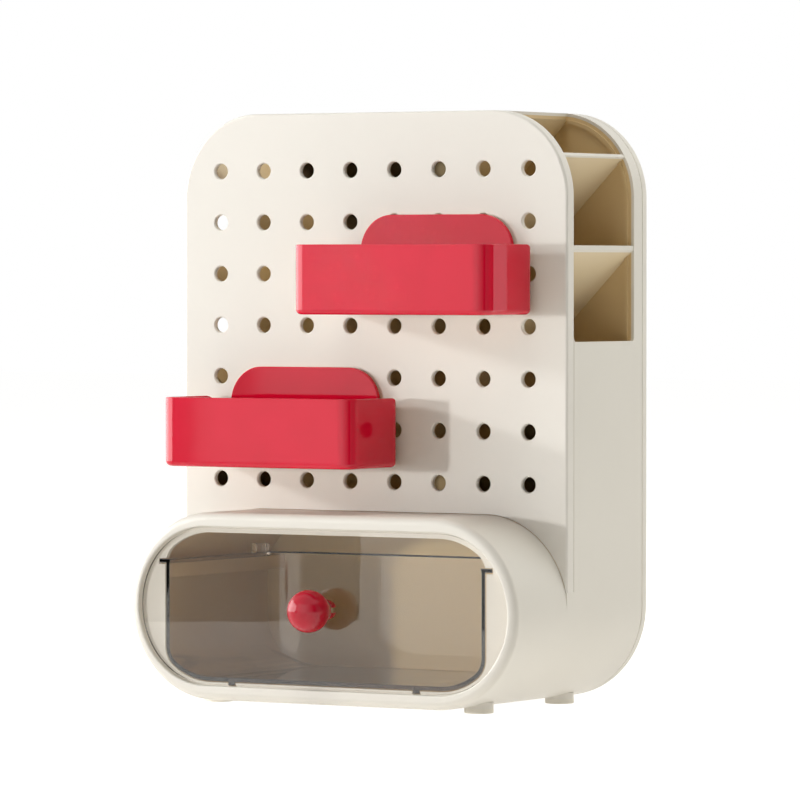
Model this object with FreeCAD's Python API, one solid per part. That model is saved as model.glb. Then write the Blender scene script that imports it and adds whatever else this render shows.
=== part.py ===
import FreeCAD
import Part
import math
import os

# Desk organizer: a pegboard tower with slanted pen compartments behind the board, two trays
# pegged to its front, and a clear drawer with a ball knob in a stadium-shaped housing.
# Millimetres. +Z is up, -Y is the front. The origin is on the table, under the middle of
# the whole object: half of its width and half of its depth, knob included.

V = FreeCAD.Vector

# ---- Driving dimensions: tower ----
BODY_WIDTH = 174.0          # across the tower and the drawer housing
BODY_HEIGHT = 226.3         # underside of the housing to the top of the tower
TOWER_DEPTH = 62.4          # pegboard face to back cover
SHOULDER_R = 33.0           # rounded top corners of the tower
WALL = 2.5                  # every outer wall
SHEET = 2.0                 # pegboard sheet, inner back wall and back cover
PANEL_EDGE = 5.3            # depth of the pegboard's rim
PANEL_ROUND = 1.0
COVER_DEPTH = 5.4           # depth of the back cover's rim
COVER_ROUND = 2.5
SEAM = 0.5                  # square groove along each seam

# ---- Driving dimensions: peg holes ----
PITCH = 20.0
HOLE_D = 6.0
HOLE_LEAD = 0.4             # countersink at the mouth of each hole
TOP_ROW_DROP = 22.2         # top of the tower to the first row
SIDE_MARGIN = 16.0          # least distance from the side to a hole's centre
BOTTOM_MARGIN = 9.0         # least distance from the housing to a hole's centre

# ---- Driving dimensions: pen compartments ----
PEN_BAY_DEPTH = 45.4
BACK_LEDGE = 1.4            # width of the ledge round the inner back wall
BACK_LEDGE_DEPTH = 0.8
WINDOW_DROP = 88.0          # top of the tower to the sill of the side window
WINDOW_TOP_INSET = 30.0     # how far the window reaches in over the top
WINDOW_ROUND = 1.2
DIVIDER = 1.2
DIVIDER_DROP = 2.8          # sill to the lowest divider's line at the side
DIVIDER_STEP = 39.7         # height from one divider to the next
DIVIDER_TIP = 0.3           # how far a divider's tip stays inside the outer surface
DIVIDER_FIT = 0.1           # dividers to the side walls and to the ledge

# ---- Driving dimensions: drawer housing ----
HOUSING_HEIGHT = 72.4
HOUSING_REACH = 38.0        # how far it stands out of the pegboard
LIP_ROUND = 3.0
LIP_INNER_ROUND = 0.7
LIP_SIDE = 3.8              # width of the front lip at the sides
LIP_TOP = 5.6               # width of the front lip above and below
CUSP_RISE = 7.4             # where the pegboard's lower points are cut off

# ---- Driving dimensions: drawer ----
FRONT_INSET = 1.7           # drawer front behind the lip
FRONT_PLATE = 1.7
FRONT_GAP = 0.4             # around the drawer front
SEAT_GAP = 0.2              # behind the drawer front and behind each tray
BEZEL = 2.0
OPENING_SIDE = 14.4         # side of the housing to the side of the bezel's opening
OPENING_END = 6.4           # side of the housing to the opening's half-circles
OPENING_BORDER = 7.3        # housing's underside to the bezel's opening
OPENING_DROP = 0.5          # opening's centre below the housing's centre
OPENING_ROUND = 10.0
BOX_GAP = 0.5               # between the drawer box and the bezel's opening
BOX_WALL = 1.6
BOX_DEPTH = 78.6
BOX_OPEN_TOP = 17.6         # top edge of the box above the housing's centre
BOX_CORNER = 14.5          # plan radius of the box's two rear corners
RUN_END = 8.0              # flange, stop and runner end this far before the box's back
FLANGE_OUT = 3.1
FLANGE = 1.4
STOP_RISE = 3.4
STOP_LENGTH = 6.0
RUNNER_X = 41.7
RUNNER_WIDTH = 3.0
RUNNER_DEPTH = 1.4
RUNNING_GAP = 0.3
RAIL_HEIGHT = 5.5
RAIL_WIDTH = 7.0
KNOB_D = 16.4
KNOB_REACH = 15.6           # knob's front in front of the lip
KNOB_NECK_D = 8.6
STUD_D = 7.8
STUD_BARB_D = 8.8
STUD_LENGTH = 3.6           # behind the drawer front
STUD_SLOT = 2.0
STUD_GAP = 0.1              # all round the stud in its hole

# ---- Driving dimensions: trays ----
TRAY_WIDTH = 87.0
TRAY_DEPTH = 37.5
TRAY_HEIGHT = 26.7
TRAY_CORNER = 6.0
TRAY_WALL = 1.6
TRAY_FOOT_ROUND = 2.0
TRAY_BACK_ROUND = 7.0       # where the rim falls to the back
TAB_WIDTH = 68.2
TAB_RISE = 11.5
TAB_CORNER = 14.0
TAB_THICK = 2.0
TRAY_TOP_DROP = 8.2         # row of the upper pegs to the tray's rim
PEG_D = 4.2
PEG_REACH = 2.4             # past the back of the pegboard sheet
PEG_LEAD = 0.5
TRAY_PEG_SPAN = 2           # holes from one peg to the next
TRAY_PLAY = 0.6             # pegs above or below the middle of their holes

# ---- Driving dimensions: feet and screws ----
FOOT_D = 11.2
FOOT_HEIGHT = 1.8
FOOT_STEM_D = 5.0
FOOT_STEM = 1.3
FOOT_FIT = 0.1
FOOT_ROUND = 0.4
FOOT_SIDE = 28.0            # side of the housing to a foot's centre
FOOT_BACK = 20.4            # back of the organizer to a rear foot's centre
FOOT_FRONT = 20.0           # front of the housing to a front foot's centre
SCREW_D = 2.9
SCREW_LENGTH = 8.0
SCREW_HEAD_D = 5.6
SCREW_HEAD = 1.8
SCREW_SLOT = 0.9
SCREW_FIT = 0.1
BOSS_D = 7.0
PAD_DEPTH = 4.0             # thickness of the cover under a screw
SCREW_SIDE = 16.0           # side of the tower to a screw's axis
SCREW_ROWS = 3
SCREW_TOP_DROP = 26.0       # top of the tower to the first screw
SCREW_LOW_RISE = 14.0       # housing's top to the last screw

# ---- Derived places ----
half_width = BODY_WIDTH / 2.0
body_bottom = FOOT_HEIGHT
body_top = body_bottom + BODY_HEIGHT
housing_r = HOUSING_HEIGHT / 2.0
housing_z = body_bottom + housing_r
housing_top = body_bottom + HOUSING_HEIGHT
whole_depth = TOWER_DEPTH + HOUSING_REACH + KNOB_REACH
back_y = whole_depth / 2.0
panel_y = back_y - TOWER_DEPTH
panel_seam_y = panel_y + PANEL_EDGE
cover_seam_y = back_y - COVER_DEPTH
inner_back_y = panel_seam_y + PEN_BAY_DEPTH
lip_y = panel_y - HOUSING_REACH
front_y = lip_y + FRONT_INSET
plate_back_y = front_y + FRONT_PLATE
bezel_y = plate_back_y + SEAT_GAP
rail_y = bezel_y + BEZEL
knob_y = lip_y - KNOB_REACH + KNOB_D / 2.0
opening_z = housing_z - OPENING_DROP
opening_r = housing_r - OPENING_BORDER
box_half = half_width - OPENING_SIDE - BOX_GAP
box_r = opening_r - BOX_GAP
box_top = housing_z + BOX_OPEN_TOP
box_back_y = plate_back_y + BOX_DEPTH
flange_half = box_half + FLANGE_OUT
window_sill = body_top - WINDOW_DROP
columns = int((BODY_WIDTH - 2.0 * SIDE_MARGIN) / PITCH) + 1
top_row = body_top - TOP_ROW_DROP
rows = int((top_row - housing_top - BOTTOM_MARGIN) / PITCH) + 1
cover_inner_y = back_y - SHEET
BEYOND = 5.0                # how far a cutting solid runs past what it cuts


def column_x(column):
    """X of a column of peg holes, counted from 1 at the left."""
    return (column - (columns + 1) / 2.0) * PITCH


def row_z(row):
    """Height of a row of peg holes, counted from 1 at the top."""
    return top_row - (row - 1) * PITCH


def rounded_face(corners, place):
    """Face of a polygon with corners (u, v, radius); place turns (u, v) into a point."""
    stations = []
    count = len(corners)
    for index, (u, v, radius) in enumerate(corners):
        here = V(u, v, 0)
        before = V(*corners[index - 1][:2], 0) - here
        after = V(*corners[(index + 1) % count][:2], 0) - here
        before.normalize()
        after.normalize()
        if radius == 0:
            stations.append((here, None, here))
            continue
        half_angle = before.getAngle(after) / 2.0
        reach = radius / math.tan(half_angle)
        bisector = before + after
        bisector.normalize()
        middle = here + bisector * (radius / math.sin(half_angle) - radius)
        stations.append((here + before * reach, middle, here + after * reach))
    edges = []
    for index, (start, middle, end) in enumerate(stations):
        if middle is not None:
            edges.append(Part.Arc(place(start.x, start.y), place(middle.x, middle.y),
                                  place(end.x, end.y)).toShape())
        following = stations[(index + 1) % count][0]
        if end.distanceToPoint(following) > 1e-6:
            edges.append(Part.makeLine(place(end.x, end.y),
                                       place(following.x, following.y)))
    return Part.Face(Part.Wire(edges))


def slab_y(corners, y0, y1):
    """Outline in X and Z, standing from y0 to y1."""
    face = rounded_face(corners, lambda u, v: V(u, y0, v))
    return face.extrude(V(0, y1 - y0, 0))


def slab_z(corners, z0, z1):
    """Outline in X and Y, standing from z0 to z1."""
    face = rounded_face(corners, lambda u, v: V(u, v, z0))
    return face.extrude(V(0, 0, z1 - z0))


def box(x0, x1, y0, y1, z0, z1):
    """Plain block between two limits on each axis."""
    return Part.makeBox(x1 - x0, y1 - y0, z1 - z0, V(x0, y0, z0))


def rod(radius, x, z, y0, y1):
    """Round bar along Y."""
    return Part.makeCylinder(radius, y1 - y0, V(x, y0, z), V(0, 1, 0))


def mirrored(shape):
    """The same piece on the other side of the middle plane."""
    return shape.mirror(V(0, 0, 0), V(1, 0, 0))


def edges_at(shape, axis, place):
    """Edges that lie wholly in one plane across an axis."""
    return [edge for edge in shape.Edges
            if all(abs(getattr(vertex.Point, axis) - place) < 1e-6 for vertex in edge.Vertexes)
            and abs(getattr(edge.CenterOfMass, axis) - place) < 1e-6]


def outline(inset):
    """Corners of the tower's outline: shoulders above, the housing's half-circles below."""
    shoulder = SHOULDER_R - inset
    low = housing_r - inset
    side = half_width - inset
    return [(-side, body_bottom + inset, low), (side, body_bottom + inset, low),
            (side, body_top - inset, shoulder), (-side, body_top - inset, shoulder)]


def stadium(side, radius, centre_z=housing_z):
    """Corners of a flat-topped outline with half-round ends."""
    return [(-side, centre_z - radius, radius), (side, centre_z - radius, radius),
            (side, centre_z + radius, radius), (-side, centre_z + radius, radius)]


def housing_slab(inset, y0, y1):
    """The housing's stadium, taken in or let out all round."""
    return slab_y(stadium(half_width - inset, housing_r - inset), y0, y1)


def tray_places():
    """Name, first peg column, upper peg row and peg lift of each tray."""
    return [("tray_upper", columns - 1 - TRAY_PEG_SPAN, rows // 3, -TRAY_PLAY),
            ("tray_lower", 2, rows - 2, TRAY_PLAY)]


def foot_places():
    """Name and centre of each foot."""
    side = half_width - FOOT_SIDE
    front, rear = lip_y + FOOT_FRONT, back_y - FOOT_BACK
    return [("foot_front_left", -side, front), ("foot_front_right", side, front),
            ("foot_rear_left", -side, rear), ("foot_rear_right", side, rear)]


def screw_places():
    """X and Z of each screw in the back cover."""
    side = half_width - SCREW_SIDE
    high, low = body_top - SCREW_TOP_DROP, housing_top + SCREW_LOW_RISE
    step = (high - low) / (SCREW_ROWS - 1)
    return [(x, low + index * step) for index in range(SCREW_ROWS) for x in (-side, side)]


def seam_groove(y0, y1):
    """Ring that takes a square groove out of the outer surface."""
    ring = slab_y(outline(-BEYOND), y0, y1)
    return ring.cut(slab_y(outline(SEAM), y0, y1))


def back_ledge(clearance):
    """Ring along the side and top walls that stands a little out of the inner back wall."""
    ledge_y = inner_back_y - BACK_LEDGE_DEPTH - clearance
    ring = slab_y(outline(WALL), ledge_y, inner_back_y)
    ring = ring.cut(slab_y(outline(WALL + BACK_LEDGE + clearance), ledge_y, inner_back_y))
    return ring.cut(housing_slab(0, ledge_y, inner_back_y))


def window_cutter():
    """Block that opens the right side wall and the shoulder above it."""
    corners = [(panel_seam_y, window_sill, WINDOW_ROUND), (inner_back_y, window_sill, WINDOW_ROUND),
               (inner_back_y, body_top + BEYOND, 0), (panel_seam_y, body_top + BEYOND, 0)]
    inner_x = half_width - WINDOW_TOP_INSET
    face = rounded_face(corners, lambda u, v: V(inner_x, u, v))
    return face.extrude(V(WINDOW_TOP_INSET + BEYOND, 0, 0))


def body_shell():
    """Tower walls, inner back wall and drawer housing in one moulding."""
    tower = slab_y(outline(0), panel_seam_y, cover_seam_y)
    tower = tower.cut(slab_y(outline(WALL), inner_back_y + SHEET, cover_seam_y))
    pen_bay = slab_y(outline(WALL), panel_seam_y, inner_back_y)
    pen_bay = pen_bay.cut([housing_slab(0, panel_seam_y, inner_back_y), back_ledge(0)])
    tower = tower.cut(pen_bay)
    housing = housing_slab(0, lip_y, panel_seam_y)
    housing = housing.makeFillet(LIP_ROUND, edges_at(housing, "y", lip_y))
    cusps = slab_y(outline(0), panel_y, panel_seam_y).common(
        box(-half_width, half_width, panel_y, panel_seam_y, body_bottom, housing_z + CUSP_RISE))
    shell = tower.fuse([housing, cusps])
    shell = shell.cut(housing_slab(WALL, bezel_y, inner_back_y + SHEET))
    mouth_half, mouth_r = half_width - LIP_SIDE, housing_r - LIP_TOP
    shell = shell.cut(slab_y(stadium(mouth_half, mouth_r), lip_y, bezel_y))
    mouth_edges = [edge for edge in edges_at(shell, "y", lip_y)
                   if all(abs(vertex.X) < mouth_half + LIP_INNER_ROUND / 2.0
                          and abs(vertex.Z - housing_z) < mouth_r + LIP_INNER_ROUND / 2.0
                          for vertex in edge.Vertexes)]
    shell = shell.makeFillet(LIP_INNER_ROUND, mouth_edges)
    window = window_cutter().cut(back_ledge(0))
    shell = shell.cut([window, mirrored(window)])
    bosses = [rod(BOSS_D / 2.0, x, z, inner_back_y + SHEET, back_y - PAD_DEPTH)
              for x, z in screw_places()]
    foot_seats = [Part.makeCylinder(FOOT_D / 2.0, WALL, V(x, y, body_bottom))
                  .cut(housing_slab(WALL / 2.0, y - FOOT_D, y + FOOT_D))
                  for _, x, y in foot_places()]
    shell = shell.fuse(bosses + foot_seats)
    pilots = [rod(SCREW_D / 2.0 + SCREW_FIT, x, z, cover_inner_y - SCREW_LENGTH, back_y)
              for x, z in screw_places()]
    sockets = [Part.makeCylinder(FOOT_STEM_D / 2.0 + FOOT_FIT, FOOT_STEM + FOOT_FIT,
                                 V(x, y, body_bottom)) for _, x, y in foot_places()]
    return shell.cut(pilots + sockets).removeSplitter()


def pegboard_panel():
    """Shallow pan that closes the tower's front, with the grid of peg holes."""
    panel = slab_y(outline(0), panel_y, panel_seam_y)
    panel = panel.makeFillet(PANEL_ROUND, edges_at(panel, "y", panel_y))
    panel = panel.cut(seam_groove(panel_seam_y - SEAM, panel_seam_y))
    pocket = slab_y(outline(WALL), panel_y + SHEET, panel_seam_y)
    panel = panel.cut(pocket.cut(housing_slab(-SEAT_GAP - WALL, panel_y, panel_seam_y)))
    below = box(-half_width - BEYOND, half_width + BEYOND, panel_y, panel_seam_y,
                -BEYOND, housing_z + CUSP_RISE)
    panel = panel.cut([housing_slab(-SEAT_GAP, panel_y, panel_seam_y), below])
    holes = []
    for column in range(1, columns + 1):
        for row in range(1, rows + 1):
            x, z = column_x(column), row_z(row)
            holes.append(rod(HOLE_D / 2.0, x, z, panel_y, panel_y + SHEET))
            holes.append(Part.makeCone(HOLE_D / 2.0 + HOLE_LEAD, HOLE_D / 2.0, HOLE_LEAD,
                                       V(x, panel_y, z), V(0, 1, 0)))
    return panel.cut(holes).removeSplitter()


def back_cover():
    """Shallow pan that closes the back, with a counterbored pad at each screw."""
    cover = slab_y(outline(0), cover_seam_y, back_y)
    cover = cover.makeFillet(COVER_ROUND, edges_at(cover, "y", back_y))
    cover = cover.cut(seam_groove(cover_seam_y, cover_seam_y + SEAM))
    cover = cover.cut(slab_y(outline(WALL), cover_seam_y, cover_inner_y))
    pads, bores = [], []
    for x, z in screw_places():
        pads.append(rod(BOSS_D / 2.0, x, z, back_y - PAD_DEPTH, cover_inner_y))
        bores.append(rod(SCREW_HEAD_D / 2.0 + SCREW_FIT, x, z, cover_inner_y, back_y))
        bores.append(rod(SCREW_D / 2.0 + SCREW_FIT, x, z, back_y - PAD_DEPTH, back_y))
    return cover.fuse(pads).cut(bores).removeSplitter()


def cover_screws():
    """Slotted screws from the back cover into the tower's bosses."""
    screws = []
    for x, z in screw_places():
        shank = rod(SCREW_D / 2.0, x, z, cover_inner_y - SCREW_LENGTH + SCREW_FIT, cover_inner_y)
        head = rod(SCREW_HEAD_D / 2.0, x, z, cover_inner_y, cover_inner_y + SCREW_HEAD)
        head_back = cover_inner_y + SCREW_HEAD
        slot = box(x - SCREW_HEAD_D, x + SCREW_HEAD_D, head_back - SCREW_HEAD / 2.0, head_back,
                   z - SCREW_SLOT / 2.0, z + SCREW_SLOT / 2.0)
        screws.append(head.fuse(shank).cut(slot).removeSplitter())
    return Part.makeCompound(screws)


def divider_band(level):
    """V-shaped strip that slopes at 45 degrees to both side windows."""
    top = window_sill - DIVIDER_DROP + level * DIVIDER_STEP - half_width
    drop = DIVIDER * math.sqrt(2.0)
    out = half_width + BEYOND
    corners = [(-out, top - drop + out, 0), (0, top - drop, 0), (out, top - drop + out, 0),
               (out, top + out, 0), (0, top, 0), (-out, top + out, 0)]
    return slab_y(corners, panel_seam_y, inner_back_y)


def pen_divider(level, inset=DIVIDER_TIP):
    """Divider from one side window to the other, down to the middle or to the housing."""
    inside = slab_y(outline(inset), panel_seam_y, inner_back_y)
    above = box(-half_width, half_width, panel_seam_y, inner_back_y, housing_top, body_top)
    return divider_band(level).common(inside).common(above).cut(back_ledge(DIVIDER_FIT))


def low_divider():
    """Right half of the lowest divider, from below the sill to the housing's top."""
    inside = box(0, half_width - WALL - DIVIDER_FIT, panel_seam_y, inner_back_y,
                 housing_top, body_top)
    return divider_band(0).common(inside).cut(back_ledge(DIVIDER_FIT))


def drawer_section(taken_in, y0, y1):
    """Section of the bezel's opening: a stadium cut by upright sides, corners rounded."""
    side = half_width - OPENING_SIDE - taken_in
    radius = opening_r - taken_in
    far_side = half_width - OPENING_END - taken_in
    section = slab_y(stadium(far_side, radius, opening_z), y0, y1)
    section = section.common(box(-side, side, y0, y1, body_bottom, housing_top))
    corners = [edge for edge in section.Edges
               if abs(edge.Vertexes[0].X - edge.Vertexes[-1].X) < 1e-6
               and abs(edge.Vertexes[0].Z - edge.Vertexes[-1].Z) < 1e-6
               and abs(abs(edge.CenterOfMass.x) - side) < 1e-6]
    return section.makeFillet(OPENING_ROUND - taken_in, corners)


def drawer_bezel():
    """Frame behind the drawer front, with notches for the flanges and the runners."""
    bezel = housing_slab(WALL + SEAT_GAP, bezel_y, rail_y)
    notch_half = flange_half + RUNNING_GAP
    flange_notch = box(-notch_half, notch_half, bezel_y, rail_y,
                       box_top - FLANGE - 2.0 * RUNNING_GAP, box_top + RUNNING_GAP)
    runner_notch = box(RUNNER_X - RUNNER_WIDTH / 2.0 - RUNNING_GAP,
                       RUNNER_X + RUNNER_WIDTH / 2.0 + RUNNING_GAP, bezel_y, rail_y,
                       opening_z - box_r - RUNNER_DEPTH - RUNNING_GAP, opening_z)
    return bezel.cut([drawer_section(0, bezel_y, rail_y), flange_notch,
                      runner_notch, mirrored(runner_notch)]).removeSplitter()


def drawer_rail():
    """Right guide rail, from the bezel to the bay's back, under the drawer's flange."""
    top = box_top - FLANGE - RUNNING_GAP
    inner_x = box_half + 3.0 * RUNNING_GAP
    return box(inner_x, inner_x + RAIL_WIDTH, rail_y, inner_back_y, top - RAIL_HEIGHT, top)


def drawer_bay_back():
    """Pan that closes the back of the drawer bay and bears on the back cover."""
    pan = housing_slab(WALL + SEAT_GAP, inner_back_y, cover_inner_y)
    return pan.cut(housing_slab(2.0 * WALL + SEAT_GAP, inner_back_y + SHEET, cover_inner_y))


def drawer_front():
    """Clear plate that fills the housing's mouth, bored for the knob's stud."""
    plate = slab_y(stadium(half_width - LIP_SIDE - FRONT_GAP, housing_r - LIP_TOP - FRONT_GAP),
                   front_y, plate_back_y)
    return plate.cut(rod(STUD_D / 2.0 + STUD_GAP, 0, housing_z, front_y, plate_back_y))


def drawer_box():
    """Open-topped clear tub with side flanges, rear stops and two runners below."""
    def plan(side, back, corner):
        corners = [(-side, plate_back_y, 0), (side, plate_back_y, 0),
                   (side, back, corner), (-side, back, corner)]
        return slab_z(corners, body_bottom, box_top)

    tub = drawer_section(BOX_GAP, plate_back_y, box_back_y).common(
        plan(box_half, box_back_y, BOX_CORNER))
    hollow_back = box_back_y - BOX_WALL
    hollow = drawer_section(BOX_GAP + BOX_WALL, plate_back_y, hollow_back).common(
        plan(box_half - BOX_WALL, hollow_back, BOX_CORNER - BOX_WALL))
    tub = tub.cut(hollow)
    flange = box(box_half - BOX_WALL, flange_half, plate_back_y, box_back_y - RUN_END,
                 box_top - FLANGE, box_top)
    stop_back = box_back_y - RUN_END
    stop = box(box_half - BOX_WALL, flange_half, stop_back - STOP_LENGTH, stop_back,
               box_top - FLANGE, box_top + STOP_RISE)
    bottom = opening_z - box_r
    runner = box(RUNNER_X - RUNNER_WIDTH / 2.0, RUNNER_X + RUNNER_WIDTH / 2.0,
                 plate_back_y, box_back_y - RUN_END,
                 bottom - RUNNER_DEPTH, bottom + BOX_WALL / 2.0)
    extras = [flange, stop, runner]
    return tub.fuse(extras + [mirrored(piece) for piece in extras]).removeSplitter()


def drawer_knob():
    """Ball knob whose split stud snaps through the drawer front."""
    ball = Part.makeSphere(KNOB_D / 2.0, V(0, knob_y, housing_z))
    neck = rod(KNOB_NECK_D / 2.0, 0, housing_z, knob_y, front_y)
    stud = rod(STUD_D / 2.0, 0, housing_z, front_y, plate_back_y + STUD_LENGTH)
    barb = Part.makeCone(STUD_BARB_D / 2.0, STUD_D / 2.0 - STUD_GAP, STUD_LENGTH,
                         V(0, plate_back_y, housing_z), V(0, 1, 0))
    slot = box(-STUD_D, STUD_D, plate_back_y, plate_back_y + STUD_LENGTH + BEYOND,
               housing_z - STUD_SLOT / 2.0, housing_z + STUD_SLOT / 2.0)
    return ball.fuse([neck, stud, barb]).cut(slot).removeSplitter()


def tray(first_column, upper_row, lift):
    """Open tray whose sides fall to the back, with a tall back tab and four pegs."""
    left, right = column_x(first_column), column_x(first_column + TRAY_PEG_SPAN)
    middle = (left + right) / 2.0
    peg_z = row_z(upper_row) + lift
    rim = peg_z - TRAY_TOP_DROP
    floor = rim - TRAY_HEIGHT
    half = TRAY_WIDTH / 2.0
    back = panel_y - SEAT_GAP
    front = panel_y - TRAY_DEPTH

    def plan(inset, z0, z1):
        radius = TRAY_CORNER - inset
        corners = [(middle - half + inset, front + inset, radius),
                   (middle + half - inset, front + inset, radius),
                   (middle + half - inset, back - inset, radius),
                   (middle - half + inset, back - inset, radius)]
        return slab_z(corners, z0, z1)

    tub = plan(0, floor, rim)
    tub = tub.makeFillet(TRAY_FOOT_ROUND, edges_at(tub, "z", floor))
    tab_half = TAB_WIDTH / 2.0
    tab = slab_y([(middle - tab_half, floor + TRAY_FOOT_ROUND, 0),
                  (middle + tab_half, floor + TRAY_FOOT_ROUND, 0),
                  (middle + tab_half, rim + TAB_RISE, TAB_CORNER),
                  (middle - tab_half, rim + TAB_RISE, TAB_CORNER)], back - TAB_THICK, back)
    scoop_y, scoop_z = back - TRAY_BACK_ROUND, rim - TRAY_BACK_ROUND
    scoop = box(middle - half, middle + half, scoop_y, back + BEYOND, scoop_z, rim + BEYOND)
    scoop = scoop.cut(Part.makeCylinder(TRAY_BACK_ROUND, TRAY_WIDTH,
                                        V(middle - half, scoop_y, scoop_z), V(1, 0, 0)))
    shape = tub.cut([plan(TRAY_WALL, floor + TRAY_WALL, rim), scoop]).fuse(tab)
    pegs = []
    for x in (left, right):
        for z in (peg_z, peg_z - PITCH):
            peg = rod(PEG_D / 2.0, x, z, back - TAB_THICK / 2.0, panel_y + SHEET + PEG_REACH)
            pegs.append(peg.makeChamfer(PEG_LEAD, edges_at(peg, "y", panel_y + SHEET + PEG_REACH)))
    return shape.fuse(pegs).removeSplitter()


def foot(x, y):
    """Round foot with a stem in the housing's socket."""
    pad = Part.makeCylinder(FOOT_D / 2.0, FOOT_HEIGHT, V(x, y, 0))
    pad = pad.makeFillet(FOOT_ROUND, edges_at(pad, "z", 0))
    stem = Part.makeCylinder(FOOT_STEM_D / 2.0, FOOT_HEIGHT + FOOT_STEM, V(x, y, 0))
    return pad.fuse(stem).removeSplitter()


def build():
    """Every piece by its node's name."""
    rail, low = drawer_rail(), low_divider()
    pieces = {
        "body_shell": body_shell(),
        "pegboard_panel": pegboard_panel(),
        "back_cover": back_cover(),
        "cover_screws": cover_screws(),
        "pen_divider_top": pen_divider(3, WALL + DIVIDER_FIT),
        "pen_divider_upper": pen_divider(2),
        "pen_divider_middle": pen_divider(1),
        "pen_divider_lower_left": mirrored(low),
        "pen_divider_lower_right": low,
        "drawer_bezel": drawer_bezel(),
        "drawer_rail_left": mirrored(rail),
        "drawer_rail_right": rail,
        "drawer_bay_back": drawer_bay_back(),
        "drawer_front": drawer_front(),
        "drawer_box": drawer_box(),
        "drawer_knob": drawer_knob(),
    }
    for name, first_column, upper_row, lift in tray_places():
        pieces[name] = tray(first_column, upper_row, lift)
    for name, x, y in foot_places():
        pieces[name] = foot(x, y)
    return pieces


os.makedirs("parts", exist_ok=True)
for node, piece in build().items():
    print(node, len(piece.Solids), "solid(s)", "valid" if piece.isValid() else "INVALID",
          round(piece.Volume / 1000.0, 2), "cm3")
    piece.exportStep("parts/" + node + ".step")
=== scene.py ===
"""Desk organizer: a pegboard tower with pen compartments, two pegged trays and a clear drawer.

The moulded shell parts keep the frame's own shapes and are dressed here. The trays, the drawer,
its knob, the feet and the screws are modelled again with the rounded edges of moulded plastic.
"""

import logging
import math
from dataclasses import dataclass
from enum import Enum
from typing import Callable, Protocol, Sequence

import bmesh
import bpy
from mathutils import Matrix, Vector


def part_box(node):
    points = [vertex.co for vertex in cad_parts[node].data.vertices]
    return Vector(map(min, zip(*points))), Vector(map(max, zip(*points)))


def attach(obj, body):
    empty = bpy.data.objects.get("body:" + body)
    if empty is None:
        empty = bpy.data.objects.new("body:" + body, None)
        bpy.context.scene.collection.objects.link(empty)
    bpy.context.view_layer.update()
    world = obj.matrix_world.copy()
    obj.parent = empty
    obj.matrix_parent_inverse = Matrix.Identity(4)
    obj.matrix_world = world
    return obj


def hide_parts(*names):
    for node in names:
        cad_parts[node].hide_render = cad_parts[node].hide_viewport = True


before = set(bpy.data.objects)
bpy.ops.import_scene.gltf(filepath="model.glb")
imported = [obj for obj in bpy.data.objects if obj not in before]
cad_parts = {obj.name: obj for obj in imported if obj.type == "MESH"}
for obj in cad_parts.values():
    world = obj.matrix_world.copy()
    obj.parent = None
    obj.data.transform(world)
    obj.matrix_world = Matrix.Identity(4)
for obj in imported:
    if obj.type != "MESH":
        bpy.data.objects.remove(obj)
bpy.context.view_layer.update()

MM = 0.001
WHITE = (1.0, 1.0, 1.0, 1.0)
WARM_LIGHT = (1.0, 0.985, 0.93)
NOISE_LOW, NOISE_HIGH = 0.3, 0.7     # what even noise mostly stays between
FLAT = 0.9                           # least part of a normal along the axis that a face looks
log = logging.getLogger("organizer")

Socket, Material, Piece = bpy.types.NodeSocket, bpy.types.Material, bpy.types.Object
Place = tuple[float, float, float]
Colour = tuple[float, float, float, float]
Test = Callable[[Vector, Sequence[Vector], Vector], bool]


class Part(Enum):
    """What a selection on the bench picks."""

    CORNER = "VERT"
    EDGE = "EDGE"
    FACE = "FACE"


class Axis(Enum):
    """A direction, as the number of its coordinate."""

    X = 0
    Y = 1
    Z = 2

    def turn(self) -> Matrix:
        """Finds the turn that lays an upright piece in this direction.

        Returns:
            The turn.
        """
        if self is Axis.Z:
            return Matrix.Identity(4)
        return Matrix.Rotation(math.pi / 2.0, 4, "Y" if self is Axis.X else "X")


def close(a: float, b: float, slack: float = 0.02) -> bool:
    """True if two lengths in millimetres are the same within the slack."""
    return abs(a - b) <= slack


def flat_at(axis: Axis, value: float) -> Test:
    """Picks what lies in the plane across an axis at a value."""
    return lambda middle, corners, normal: all(
        close(v[axis.value], value) for v in corners)


def facing(axis: Axis, sign: float = 1.0) -> Test:
    """Picks the faces that look along an axis, or against it for a sign of -1."""
    return lambda middle, corners, normal: normal[axis.value] * sign > FLAT


def on_ring(axis: Axis, centre: Place, radius: float, slack: float = 0.02) -> Test:
    """Picks the edges of a circle across an axis.

    Args:
        axis: The circle's axis.
        centre: Its centre.
        radius: Its radius.
        slack: How far a corner may lie from it.

    Returns:
        The test.
    """
    one, two = (other.value for other in Axis if other is not axis)
    return lambda middle, corners, normal: all(
        close(v[axis.value], centre[axis.value])
        and close(math.hypot(v[one] - centre[one], v[two] - centre[two]), radius, slack)
        for v in corners)


def linear(red: int, green: int, blue: int) -> Colour:
    """A colour written as a painter reads it, 0 to 255, as linear light.

    Args:
        red: Red, 0 to 255.
        green: Green, 0 to 255.
        blue: Blue, 0 to 255.

    Returns:
        The linear colour with full cover.
    """
    def one(value: int) -> float:
        """One channel as linear light."""
        share = value / 255.0
        return share / 12.92 if share <= 0.04045 else ((share + 0.055) / 1.055) ** 2.4
    return one(red), one(green), one(blue), 1.0


def shaded(colour: Colour, share: float) -> Colour:
    """A colour with each channel at a share of its value, and full cover."""
    return (*(v * share for v in colour[:3]), 1.0)


# ---- The bench: one mesh, shaped in edit mode, in millimetres ----

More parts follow.
